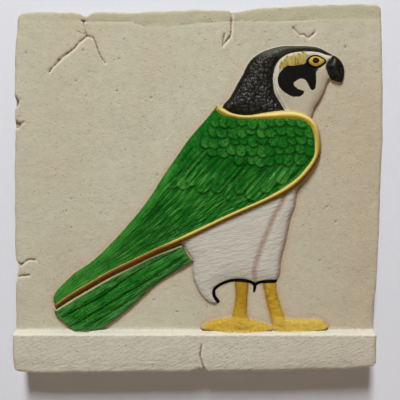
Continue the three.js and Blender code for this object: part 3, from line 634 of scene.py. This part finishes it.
def placeOnTile(shares):
    u, v = shares.T
    wear = {name: np.array(edgeWear[name]) for name in ("upper", "right", "lower", "left")}
    half, tall = tile["width"] / 2, tile["height"] / 2
    noise = [edgeWear["unevenness"] * softNoise(np.column_stack([t * 150, np.full(len(u), i)]), 2.3, 70 + i)
             for i, t in enumerate((u, u, v, v))]
    upper = tall - np.interp(u, *wear["upper"].T) + noise[0]
    lower = -tall + np.interp(u, *wear["lower"].T) + noise[1]
    left = -half + np.interp(1 - v, *wear["left"].T) + noise[2]
    right = half - np.interp(1 - v, *wear["right"].T) + noise[3]
    place = np.column_stack([left + u * (right - left), lower + v * (upper - lower)])
    radius = tile["cornerRound"]
    for cornerX, cornerZ in ((0, 0), (0, 1), (1, 0), (1, 1)):
        at = (np.abs(u - cornerX) + np.abs(v - cornerZ)).argmin()
        centre = place[at] + radius * np.array([1 - 2 * cornerX, 1 - 2 * cornerZ])
        offset = place - centre
        outside = (offset * [2 * cornerX - 1, 2 * cornerZ - 1] > 0).all(1)
        reach = np.abs(offset).max(1)
        away = np.maximum(np.hypot(*offset.T), 1e-6)
        place[outside] = (centre + offset * (reach / away)[:, None])[outside]
    return place


def planePoints(mesh):
    return np.array([vert.co[:2] for vert in mesh.verts])


def refine(mesh, wanted):
    mesh.faces.ensure_lookup_table()
    centres = np.array([face.calc_center_median()[:2] for face in mesh.faces])
    picked = wanted(centres)
    edges = {edge for face, chosen in zip(mesh.faces, picked) if chosen for edge in face.edges}
    bmesh.ops.subdivide_edges(mesh, edges=list(edges), cuts=1, use_grid_fill=True)


def figureDepth(points):
    return {name: areaDistance(points, rings[name]) for name in figureParts}


def damageDistance(points):
    chips = [-areaDistance(points, np.array(chip, float)) for chip in damage["chips"]]
    pits = [np.hypot(*(points - pit).T) for pit in damage["pits"]]
    return np.min([linesDistance(points, damage["cracks"])] + chips + pits, axis=0)


def nearForms(points, figure, reach):
    atLip = np.abs(points[:, 1] - detail["lipLine"]) < reach["lip"]
    return (figure > -reach["figure"]) | atLip | (damageDistance(points) < reach["damage"])


def coarseDetail(points):
    figure = np.max(list(figureDepth(points).values()), axis=0)
    atRim = np.abs(points[:, 0]) > detail["rimSides"]
    atRim |= (points[:, 1] > detail["rimTop"]) | (points[:, 1] < detail["rimFoot"])
    return nearForms(points, figure, detail["coarse"]) | atRim


def fineDetail(points):
    depth = figureDepth(points)
    crease = lineDistance(points, smoothed(toMillimetres(lines["crease"])))
    plain = (depth["body"] > detail["plainDepth"]) & (crease > detail["creaseWidth"]) & (depth["wing"] < -1)
    figure = np.where(plain, unset, np.max(list(depth.values()), axis=0))
    return nearForms(points, figure, detail["fine"])


def buildCast():
    mesh = bmesh.new()
    columns = round(tile["width"] / tile["cell"])
    rows = round(tile["height"] / tile["cell"])
    bmesh.ops.create_grid(mesh, x_segments=columns, y_segments=rows, size=0.5)
    place = placeOnTile(planePoints(mesh) + 0.5)
    for vert, (x, z) in zip(mesh.verts, place):
        vert.co = (x, z, 0)
    refine(mesh, coarseDetail)
    refine(mesh, fineDetail)
    print("stage: grid refined,", len(mesh.verts), "points")

    points = planePoints(mesh)
    border = np.array([[e.verts[0].co[:2], e.verts[1].co[:2]] for e in mesh.edges if e.is_boundary])
    edge = np.full(len(points), 9.0)
    near = (np.abs(points[:, 0]) > 67) | (np.abs(points[:, 1]) > 66)
    edge[near] = stretchDistance(points[near], border)
    areas = measureRegions(points)
    height = shapeFront(points, areas, edge)
    areas["edge"] = edge
    for vert, (x, z), rise in zip(mesh.verts, points, height):
        vert.co = (x, -tile["thickness"] - rise, z)
    print("stage: front carved")

    # Sides, drawn back ring by ring, then the flat back
    ring = [edge for edge in mesh.edges if edge.is_boundary]
    for row in range(tile["sideRows"] + 2):
        made = bmesh.ops.extrude_edge_only(mesh, edges=ring)["geom"]
        verts = [item for item in made if isinstance(item, bmesh.types.BMVert)]
        ring = [item for item in made if isinstance(item, bmesh.types.BMEdge) and item.is_boundary]
        drawBack(verts, row)
    bmesh.ops.holes_fill(mesh, edges=ring, sides=0)
    bmesh.ops.recalc_face_normals(mesh, faces=mesh.faces)
    bmesh.ops.scale(mesh, vec=(mm, mm, mm), verts=mesh.verts)
    data = bpy.data.meshes.new("reliefCast")
    mesh.to_mesh(data)
    mesh.free()
    cast = bpy.data.objects.new("reliefCast", data)
    bpy.context.scene.collection.objects.link(cast)
    for face in data.polygons:
        face.use_smooth = True
    print("stage: cast closed,", sum(len(face.vertices) - 2 for face in data.polygons), "triangles")
    storeRegions(data, areas)
    return cast


def drawBack(verts, row):
    last = tile["sideRows"]
    depth = np.array([vert.co.y for vert in verts])
    place = np.array([(vert.co.x, vert.co.z) for vert in verts])
    if row < last:
        depth = depth + (-tile["backEdgeRound"] - depth) / (last - row)
        unevenness = softNoise(place + 3.1 * row, 2.6, 90)
        place = place * (1 + tile["sideRoughness"] / 75 * unevenness[:, None])
    else:
        drawnIn = 0.4 if row == last else 1.0
        depth = np.full(len(verts), -0.15 if row == last else 0.0)
        place = place * (1 - drawnIn * tile["backEdgeRound"] / 75)
    for vert, y, (x, z) in zip(verts, depth, place):
        vert.co = (x, y, z)


# What the paint reads from the mesh, and the value of each on the sides and back
regionNames = {
    unset: ["figure", "wing", "green", "tail", "body", "face", "cap", "beak", "mark", "eyeRim", "eyeWhite",
            "pupilRim", "ochrePatch", "nearLeg", "nearFoot", "farLeg", "farFoot", "chip", "ledgeLip",
            "topStrip"],
    -unset: ["crease", "hem", "tailGroove", "tailEdge", "flank", "throatLine", "crack", "crackHighlight",
             "hairline", "rimLine", "pit", "wornRidge", "edge"],
    0.0: ["wingAcross", "wingAlong", "featherGrooveShadow", "featherToneAndHighlight", "pebble"],
}


def storeRegions(data, areas):
    for plain, names in regionNames.items():
        for name in names:
            values = np.full(len(data.vertices), plain, np.float32)
            values[:len(areas[name])] = areas[name]
            data.attributes.new(name, "FLOAT", "POINT").data.foreach_set("value", values)


# A shader socket that takes part in Python sums
class Wire:
    def __init__(self, tree, socket):
        self.tree = tree
        self.socket = socket

    def math(self, operation, *others):
        return makeNode(self.tree, "ShaderNodeMath", {"operation": operation}, [self, *others])

    def __add__(self, other):
        return self.math("ADD", other)

    __radd__ = __add__

    def __mul__(self, other):
        return self.math("MULTIPLY", other)

    __rmul__ = __mul__

    def __sub__(self, other):
        return self.math("SUBTRACT", other)

    def __rsub__(self, other):
        return (self * -1) + other

    def __truediv__(self, other):
        return self.math("DIVIDE", other)

    def clamped(self):
        return self.math("MINIMUM", 1.0).math("MAXIMUM", 0.0)

    def above(self, level, softness):
        return ((self - level) * (1 / softness) + 0.5).clamped()

    def near(self, width):
        return (1 - self * (1 / width)).clamped()


def makeNode(tree, kind, settings=None, inputs=None, output=0):
    node = tree.nodes.new(kind)
    for name, value in (settings or {}).items():
        setattr(node, name, value)
    pairs = inputs.items() if isinstance(inputs, dict) else enumerate(inputs or [])
    for name, value in pairs:
        if isinstance(value, Wire):
            tree.links.new(value.socket, node.inputs[name])
        else:
            node.inputs[name].default_value = value
    return Wire(tree, node.outputs[output])


def linear(red, green, blue):
    channels = [channel / 255 for channel in (red, green, blue)]
    return tuple(c / 12.92 if c < 0.04045 else ((c + 0.055) / 1.055) ** 2.4 for c in channels) + (1.0,)


def overlay(tree, under, over, mask):
    return makeNode(tree, "ShaderNodeMix", {"data_type": "RGBA"}, {0: mask, 6: under, 7: over}, 2)


def tinted(tree, color, factor):
    grey = makeNode(tree, "ShaderNodeCombineColor", {}, [factor, factor, factor])
    return makeNode(tree, "ShaderNodeMix", {"data_type": "RGBA", "blend_type": "MULTIPLY"},
                    {0: 1.0, 6: color, 7: grey}, 2)


paint = {
    "plaster": linear(185, 183, 162),
    "plasterWarm": linear(184, 172, 149),
    "plasterGreen": linear(170, 163, 136),
    "plasterShadeBrown": linear(180, 166, 142),
    "broken": linear(226, 212, 190),
    "ledgeWornAndLit": linear(224, 217, 200),
    "crackDark": linear(100, 74, 50),
    "stainAndShade": linear(158, 132, 104),
    "blush": linear(190, 162, 140),
    "green": linear(13, 92, 15),
    "greenLight": linear(84, 160, 64),
    "greenGlint": linear(120, 172, 104),
    "greenDusty": linear(88, 136, 78),
    "greenDark": linear(3, 50, 6),
    "gold": linear(182, 151, 56),
    "goldPaleAndHighlight": linear(222, 205, 130),
    "bandShadeBrown": linear(120, 78, 18),
    "redBrown": linear(124, 76, 24),
    "body": linear(186, 181, 169),
    "creaseShadeBrown": linear(152, 122, 104),
    "leg": linear(157, 118, 28),
    "foot": linear(194, 157, 53),
    "black": linear(9, 7, 5),
    "cap": linear(20, 19, 15),
    "ledgeStone": linear(197, 190, 175),
    "tailCream": linear(206, 190, 150),
    "capHighlightGrey": linear(100, 98, 88),
    "face": linear(176, 165, 143),
    "faceLight": linear(206, 198, 180),
    "ochre": linear(165, 143, 58),
    "ochreDark": linear(70, 52, 16),
    "eyeYellow": linear(182, 154, 62),
    "pupil": linear(60, 24, 14),
}


def castMaterial():
    material = bpy.data.materials.new("painted plaster")
    material.use_nodes = True
    tree = material.node_tree
    shader = tree.nodes["Principled BSDF"]
    place = makeNode(tree, "ShaderNodeTexCoord", {}, None, 3)
    x = makeNode(tree, "ShaderNodeSeparateXYZ", {}, [place], 0) * (1 / mm)
    z = makeNode(tree, "ShaderNodeSeparateXYZ", {}, [place], 2) * (1 / mm)
    behind = (makeNode(tree, "ShaderNodeSeparateXYZ", {}, [place], 1) * (1 / mm) + 0.4).above(0, 0.3)

    def region(name):
        return makeNode(tree, "ShaderNodeAttribute", {"attribute_name": name}, None, 2)

    def noise(size, detail=2.0, roughness=0.5, stretch=(1, 1, 1), turn=0.0):
        vector = place
        if turn:
            vector = makeNode(tree, "ShaderNodeMapping", {}, {0: vector, 2: (0, math.radians(turn), 0)})
        if stretch != (1, 1, 1):
            vector = makeNode(tree, "ShaderNodeMapping", {}, {0: vector, 3: stretch})
        values = {0: vector, 2: 1 / (size * mm), 3: detail, 4: roughness}
        return makeNode(tree, "ShaderNodeTexNoise", {}, values)

    def over(under, paintName, mask):
        return overlay(tree, under, paint[paintName], mask)

    wobble = (noise(1.1, 2.0) - 0.5) * 0.55

    def mask(distance, softness=0.28, grow=0.0):
        return (distance + wobble + grow).above(0, softness)

    # Bare plaster, with painted shade towards the lower right, around the figure and in cracks, pits, pores
    # and chips, and painted highlights on the ledge's lip and beside the cracks
    figure = region("figure")
    belowLip = (z * -1 + ledge["lip"] + 0.4).above(0, 1.0)
    grain = noise(2.2, 4.0, 0.65)
    fine = noise(0.55, 2.0, 0.6)
    speck = noise(0.8, 1.0)
    base = over(paint["plaster"], "plasterWarm", (noise(26, 3.0) * 1.6 - 0.3).clamped())
    # Painted shade: the plaster turns darker and browner towards the right and the bottom, where the light
    # falls off
    toRight = ((x - 18) * (1 / 50)).clamped()
    lowDown = ((z * -1 + 62) * (1 / 30)).clamped()
    base = over(base, "plasterShadeBrown", toRight * (0.3 + lowDown * 0.6))
    base = over(base, "ledgeStone", belowLip * 0.6)
    greener = ((x + 60) * (1 / 14)).clamped() * 0.5 + 0.2
    base = over(base, "plasterGreen", (region("topStrip") + wobble).above(0, 0.8) * greener)
    base = tinted(tree, base, 0.755 + noise(9, 4.0, 0.6) * 0.17 + grain * 0.2 + fine * 0.12)
    scraped = noise(5.0, 4.0, 0.6, (0.06, 1, 1), 8) * behind
    base = over(base, "ledgeStone", (scraped * 2.4 - 0.7).clamped() * 0.6)
    base = over(base, "crackDark", speck.above(0.75, 0.06) * 0.25)
    base = over(base, "broken", (1 - speck).above(0.76, 0.06) * 0.3)
    rimWear = (region("edge") + wobble * 1.6).near(1.1) * noise(5.0, 3.0).above(0.45, 0.2)
    base = over(base, "broken", rimWear * 0.5)
    # Pores, sunk by the bump below and darkened as painted shade; the ledge's dark specks join them
    pores = makeNode(tree, "ShaderNodeTexVoronoi", {"feature": "F1"}, {0: place, 2: 1 / (2.6 * mm)})
    pores = pores.near(0.17) * noise(7, 2.0).above(0.61, 0.05)
    base = over(base, "crackDark", (pores + speck.above(0.72, 0.06) * belowLip * 0.5).clamped() * 0.6)
    # Painted shade in the pits
    base = over(base, "crackDark", (region("pit") + wobble * 0.4).near(0.6) * 0.65)
    # The ledge's lip is lighter: worn whiter plaster, and a painted highlight where the lip faces up to the
    # light
    base = over(base, "ledgeWornAndLit", (region("ledgeLip") + wobble * 1.4).above(0, 0.5) * 0.85)
    broken = noise(6, 2.0).above(0.42, 0.2)
    base = over(base, "ledgeWornAndLit", (region("wornRidge") + wobble).near(0.7) * broken * 0.8)
    aboveLedge = (z - ledge["top"]).above(0, 0.6)
    wash = (1 - (figure * -1 - 0.5) * 0.24).clamped() * noise(4.5, 3.0).above(0.47, 0.25)
    base = over(base, "blush", wash * aboveLedge * (52 - z).above(0, 6) * 0.5)
    # A darker brown band just outside the figure: stain, and painted shade at the foot of the relief
    base = over(base, "stainAndShade", (figure * -1).near(1.9) * aboveLedge * (38 - z).above(0, 8) * 0.42)
    crack = region("crack")
    # Painted highlight along each crack's lower lip, which faces the light, in the light broken-plaster
    # colour
    base = over(base, "broken", (region("crackHighlight") + wobble * 1.4).near(0.8) * 0.7)
    # Dark brown painted shade in the cracks, the hairlines and the rim line
    base = over(base, "crackDark", (crack + wobble * 1.5).near(0.55))
    base = over(base, "crackDark", (region("hairline") + wobble * 0.8).near(0.5) * 0.75)
    base = over(base, "crackDark", region("rimLine").near(0.45) * 0.5)
    base = over(base, "broken", region("chip").above(0.1, 0.6) * 0.35)
    # Painted shade on the chips' deeper faces, which turn away from the light
    base = over(base, "crackDark", (region("chip") + wobble * 2).above(0.8, 0.6) * 0.65)

    # Tail
    tail = region("tail")
    tailStreak = noise(0.65, 3.0, 0.6, (1, 1, 0.1), -59)
    flecks = noise(0.5, 1.0).above(0.7, 0.06)
    tailGreen = over(paint["green"], "greenLight", (tailStreak * 4 - 1.85).clamped() * 0.5)
    # Dark brush streaks, and painted shade in the tail's grooves
    tailDarkAndShade = ((0.48 - tailStreak) * 6).clamped() * 0.8 + (region("tailGroove") + wobble * 0.4).near(0.6)
    tailGreen = over(tailGreen, "greenDark", tailDarkAndShade.clamped())
    tailGreen = over(tailGreen, "greenGlint", flecks * 0.6)
    tailGreen = over(tailGreen, "greenDusty", tail.near(4.5) * (tailStreak * 3 - 0.9).clamped() * 0.7)
    tailGreen = over(tailGreen, "redBrown", tail.near(0.75) * 0.5)
    trim = (region("tailEdge") - 0.85).math("ABSOLUTE") + wobble * 0.4
    tailGreen = over(tailGreen, "tailCream", trim.near(0.5) * 0.9)
    color = overlay(tree, base, tailGreen, mask(tail))

    # Feet, and the legs fading into them
    footPaint = over(paint["foot"], "leg", noise(1.1, 3.0).above(0.56, 0.3) * 0.5)
    for name, share in (("nearFoot", 0.0), ("farFoot", 0.12)):
        toes = over(footPaint, "goldPaleAndHighlight", ((1 - noise(0.9, 2.0)).above(0.6, 0.3) * 0.4 + share).clamped())
        color = overlay(tree, color, toes, mask(region(name)))
    scutes = noise(0.9, 2.0, 0.5, (0.3, 1, 1))
    for name, share in (("nearLeg", 0.35), ("farLeg", 0.95)):
        legPaint = over(paint["leg"], "foot", (scutes * 3 - 1.0).clamped() * share)
        legPaint = over(legPaint, "foot", (1 - (z + 55) * (1 / 9)).clamped() * 0.8)
        color = overlay(tree, color, legPaint, mask(region(name)) * ((z + 55.6) * (1 / 3.2)).clamped())

    # Body
    bodyArea = region("body")
    body = tinted(tree, paint["body"], 0.88 + noise(1.5, 3.0, 0.6, (0.22, 1, 1), 14) * 0.26)
    # Pink brown painted shade along the crease and the right flank
    body = over(body, "creaseShadeBrown", (region("crease") + wobble).near(1.7) * 0.85)
    body = over(body, "creaseShadeBrown", (region("flank") + wobble).near(1.9) * 0.9)
    color = overlay(tree, color, body, mask(bodyArea))
    color = over(color, "black", (0.68 - region("hem") + wobble * 0.5).above(0, 0.2))

    # Head
    face = tinted(tree, paint["face"], 0.93 + noise(1.6, 3.0) * 0.12)
    cap = region("cap")
    # Pink brown painted shade along the throat
    face = over(face, "creaseShadeBrown", (region("throatLine") + wobble).near(3.2) * 0.45)
    face = over(face, "faceLight", (cap + 1.6 + wobble * 0.6).above(0, 0.8) * 0.8)
    brushed = noise(1.0, 3.0, 0.6, (1, 1, 0.3))
    ochre = over(paint["ochre"], "ochreDark", brushed.above(0.55, 0.15) * 0.5)
    dabbed = (region("ochrePatch") + (brushed - 0.5) * 3.6).above(0, 0.5)
    face = overlay(tree, face, ochre, dabbed * (brushed * 1.3 + 0.2).clamped())
    color = overlay(tree, color, face, mask(region("face")))
    color = over(color, "black", mask(region("mark"), 0.2))
    color = over(color, "black", (region("eyeRim") + wobble * 0.3).above(0, 0.2))
    color = over(color, "eyeYellow", (region("eyeWhite") + wobble * 0.2).above(0, 0.2))
    color = over(color, "black", (region("pupilRim") + wobble * 0.2).above(0, 0.2))
    color = over(color, "pupil", region("pupilRim").above(0.55, 0.3))
    # Painted sheen: grey patches on the black beak
    beakPaint = over(paint["black"], "capHighlightGrey", noise(1.2, 3.0).above(0.58, 0.3) * 0.16)
    color = overlay(tree, color, beakPaint, mask(region("beak"), 0.22))
    # Painted highlights on the tops of the cap's pebbles
    pebbleHighlight = region("pebble").above(0.5, 0.8) * noise(2.2, 3.0).above(0.5, 0.25)
    capPaint = over(paint["cap"], "capHighlightGrey", pebbleHighlight * 0.36)
    # Painted highlight along the top of the cap
    capPaint = over(capPaint, "capHighlightGrey", (z - 52.4).above(0, 2.0) * (cap + wobble).above(0.3, 0.8) * 0.5)
    color = overlay(tree, color, capPaint, mask(cap))

    # Gold band along the wing, red brown towards the tip, with painted highlights on its faces turned up to
    # the light and brown painted shade on its faces turned down
    wing, green = region("wing"), region("green")
    across, along = region("wingAcross"), region("wingAlong")
    inward = wing / (wing - green + 0.001)
    low = (1 - (z - 12) * (1 / 14)).clamped()
    # Painted highlight: pale gold on the band's faces turned up to the light
    gold = over(paint["gold"], "goldPaleAndHighlight", (inward - 0.34).math("ABSOLUTE").near(0.34) * (1 - low) * 1.1)
    gold = over(gold, "goldPaleAndHighlight", (inward - 0.84).math("ABSOLUTE").near(0.22) * low * 0.85)
    # Painted shade: brown on the band's faces turned down, away from the light
    gold = over(gold, "bandShadeBrown", (1 - inward.above(0.55, 0.3)) * low * 0.8)
    gold = over(gold, "bandShadeBrown", inward.above(0.86, 0.14) * (1 - low) * 0.5)
    # Painted highlight: a pale line on the red brown strip's inner, upper side
    redEdge = over(paint["redBrown"], "goldPaleAndHighlight", inward.above(0.86, 0.16) * 0.6)
    gold = overlay(tree, gold, redEdge, along.above(0.52, 0.1))
    color = overlay(tree, color, gold, mask(wing, 0.2))

    # Feathers, with painted shadow in the grooves and under each feather's tip, and painted highlights near
    # the tips
    onFeathers = makeNode(tree, "ShaderNodeCombineXYZ", {}, [across * 58, along * 11, 0.0])
    streak = makeNode(tree, "ShaderNodeTexNoise", {}, {0: onFeathers, 2: 1.0, 3: 3.0, 4: 0.65})
    blotch = noise(5.0, 2.0)
    grooveAndShadow, toneAndHighlight = region("featherGrooveShadow"), region("featherToneAndHighlight")
    dabs = noise(0.75, 2.0, 0.6)
    combing = noise(0.9, 3.0, 0.6, (1, 1, 0.14), -41)
    coverts, scales = (z + 4).above(0, 6), (z - 7).above(0, 5)
    streak = streak * (1 - coverts) + (combing * 0.8 + 0.1) * coverts
    streak = streak * (1 - scales) + (dabs * 0.32 + 0.3) * scales
    border = (1 - (green - 2.6).above(0, 1.6)) * (1 - across.above(0.45, 0.1)) * (10 - z).above(0, 5)
    border = border * (1 - along.above(0.66, 0.3))
    streak = streak * (1 - border * 0.6) + border * 0.32
    glow = along.above(0.74, 0.4) * 0.42 + border * 0.05
    light = (streak * 3.8 - 1.8 + toneAndHighlight * 0.65 + blotch * 0.8 - 0.35 + glow).clamped() * 0.85
    feather = over(paint["green"], "greenLight", light)
    # Painted shadow from the grooves and under the feather tips, with the dark brush streaks and blotches
    featherDarkAndShade = grooveAndShadow * (0.2 + streak * 1.3) + ((0.47 - streak) * 6).clamped() * 0.7 + blotch.near(0.42) * 0.9
    feather = over(feather, "greenDark", featherDarkAndShade.clamped())
    feather = over(feather, "greenGlint", (streak + noise(0.7, 1.0) * 0.5 - 0.25).above(0.66, 0.1) * 0.45)
    color = overlay(tree, color, feather, mask(green, 0.3, 0.1))

    tree.links.new(color.socket, shader.inputs["Base Color"])
    painted = figure.above(0, 0.3)
    inked = region("beak").above(0, 0.3) * 0.25 + region("mark").above(0, 0.3) * 0.1
    inked = inked + cap.above(0, 0.3) * 0.25
    roughness = 0.86 - painted * 0.2 + fine * 0.08
    tree.links.new(roughness.socket, shader.inputs["Roughness"])
    tree.links.new((inked * 0.8).socket, shader.inputs["Coat Weight"])
    shader.inputs["Coat Roughness"].default_value = 0.32
    shader.inputs["Specular IOR Level"].default_value = 0.06
    scored = noise(1.0, 3.0, 0.6, (0.3, 1, 1), 25) * belowLip
    bare = noise(3.4, 5.0, 0.62) * 1.3 + fine * 0.5 - pores * 0.8 - speck.above(0.72, 0.1) * 0.4
    bare = bare + scored * 1.3 + scraped * 1.5
    combed = streak * green.above(0, 0.3) * 1.3 + tailStreak * tail.above(0, 0.3) * 0.8
    strokes = noise(1.4, 4.0, 0.65, (0.25, 1, 1), 14) * bodyArea.above(0, 0.3)
    relief = bare * (1 - painted * 0.5) + painted * combed + strokes * 1.9
    bump = makeNode(tree, "ShaderNodeBump", {}, {"Strength": 0.9, "Distance": 0.34 * mm, "Height": relief})
    tree.links.new(bump.socket, shader.inputs["Normal"])
    return material


cast = buildCast()
cast.data.materials.append(castMaterial())
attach(cast, "root")
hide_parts(castNode)
print("stage: cast painted")

# The pale sheet behind the tile and the floor below, with soft studio light from above
stage = {
    "sheetSize": 3.0,
    "sheetSunk": 0.3,
    "openingInset": 4.0,
    "floorDrop": 0.6,
    "sheet": linear(213, 213, 219),
    "floor": linear(206, 188, 166),
    "room": (1.0, 0.8, 0.62, 1.0),
    "roomLight": 0.085,
}


def sheetMaterial():
    material = bpy.data.materials.new("pale sheet")
    material.use_nodes = True
    tree = material.node_tree
    shader = tree.nodes["Principled BSDF"]
    shader.inputs["Base Color"].default_value = stage["sheet"]
    shader.inputs["Roughness"].default_value = 0.9
    clear = makeNode(tree, "ShaderNodeBsdfTransparent")
    behind = makeNode(tree, "ShaderNodeNewGeometry", {}, None, "Backfacing")
    either = makeNode(tree, "ShaderNodeMixShader", {}, [behind, Wire(tree, shader.outputs[0]), clear])
    tree.links.new(either.socket, tree.nodes["Material Output"].inputs["Surface"])
    return material


def makeSheet():
    mesh = bmesh.new()
    bmesh.ops.create_grid(mesh, x_segments=1, y_segments=1, size=stage["sheetSize"] / 2)
    inset = stage["sheetSize"] / 2 - (tile["width"] / 2 - stage["openingInset"]) * mm
    bmesh.ops.inset_region(mesh, faces=mesh.faces, thickness=inset, use_boundary=True, use_even_offset=True)
    middle = min(mesh.faces, key=lambda face: face.calc_area())
    bmesh.ops.delete(mesh, geom=[middle], context="FACES_ONLY")
    for vert in mesh.verts:
        vert.co = (vert.co.x, -stage["sheetSunk"] * mm, vert.co.y)
    return finishStage(mesh, "paleSheet", sheetMaterial())


def makeFloor():
    mesh = bmesh.new()
    bmesh.ops.create_grid(mesh, x_segments=1, y_segments=1, size=stage["sheetSize"] / 2)
    bmesh.ops.translate(mesh, vec=(0, -stage["sheetSize"] / 2, -stage["floorDrop"]), verts=mesh.verts)
    material = bpy.data.materials.new("pale floor")
    material.use_nodes = True
    material.node_tree.nodes["Principled BSDF"].inputs["Base Color"].default_value = stage["floor"]
    return finishStage(mesh, "paleFloor", material)


def finishStage(mesh, name, material):
    data = bpy.data.meshes.new(name)
    mesh.to_mesh(data)
    mesh.free()
    data.materials.append(material)
    thing = bpy.data.objects.new(name, data)
    bpy.context.scene.collection.objects.link(thing)
    return thing


makeSheet()
makeFloor()

lights = {
    "key": {"at": (-0.09, -0.87, 0.83), "size": (0.16, 0.42), "power": 16.5, "color": (0.93, 0.97, 1.0)},
    "fill": {"at": (0.15, -0.8, 0.05), "size": (0.4, 0.4), "power": 0.38, "color": (1.0, 0.82, 0.64)},
    "rear": {"at": (-0.5, 0.9, 0.5), "size": (0.8, 0.8), "power": 12.0, "color": (1.0, 0.99, 0.97)},
}

for name, lamp in lights.items():
    data = bpy.data.lights.new(name, "AREA")
    data.shape = "RECTANGLE"
    data.size, data.size_y = lamp["size"]
    data.energy = lamp["power"]
    data.color = lamp["color"]
    light = bpy.data.objects.new(name, data)
    light.location = lamp["at"]
    light.rotation_euler = (-light.location).to_track_quat("-Z", "Y").to_euler()
    light.visible_camera = False
    bpy.context.scene.collection.objects.link(light)

world = bpy.data.worlds.new("pale room")
bpy.context.scene.world = world
world.use_nodes = True
background = world.node_tree.nodes["Background"]
background.inputs["Color"].default_value = stage["room"]
background.inputs["Strength"].default_value = stage["roomLight"]

bpy.context.scene.view_settings.view_transform = "Standard"

camera = {"at": (0.5, -255, -5.4), "lens": 53.49, "sensor": 36}
lensData = bpy.data.cameras.new("camera")
lensData.lens = camera["lens"]
lensData.sensor_width = camera["sensor"]
eye = bpy.data.objects.new("camera", lensData)
eye.location = [value * mm for value in camera["at"]]
eye.rotation_euler = (math.radians(90), 0, 0)
bpy.context.scene.collection.objects.link(eye)
bpy.context.scene.camera = eye
print("stage: lit")
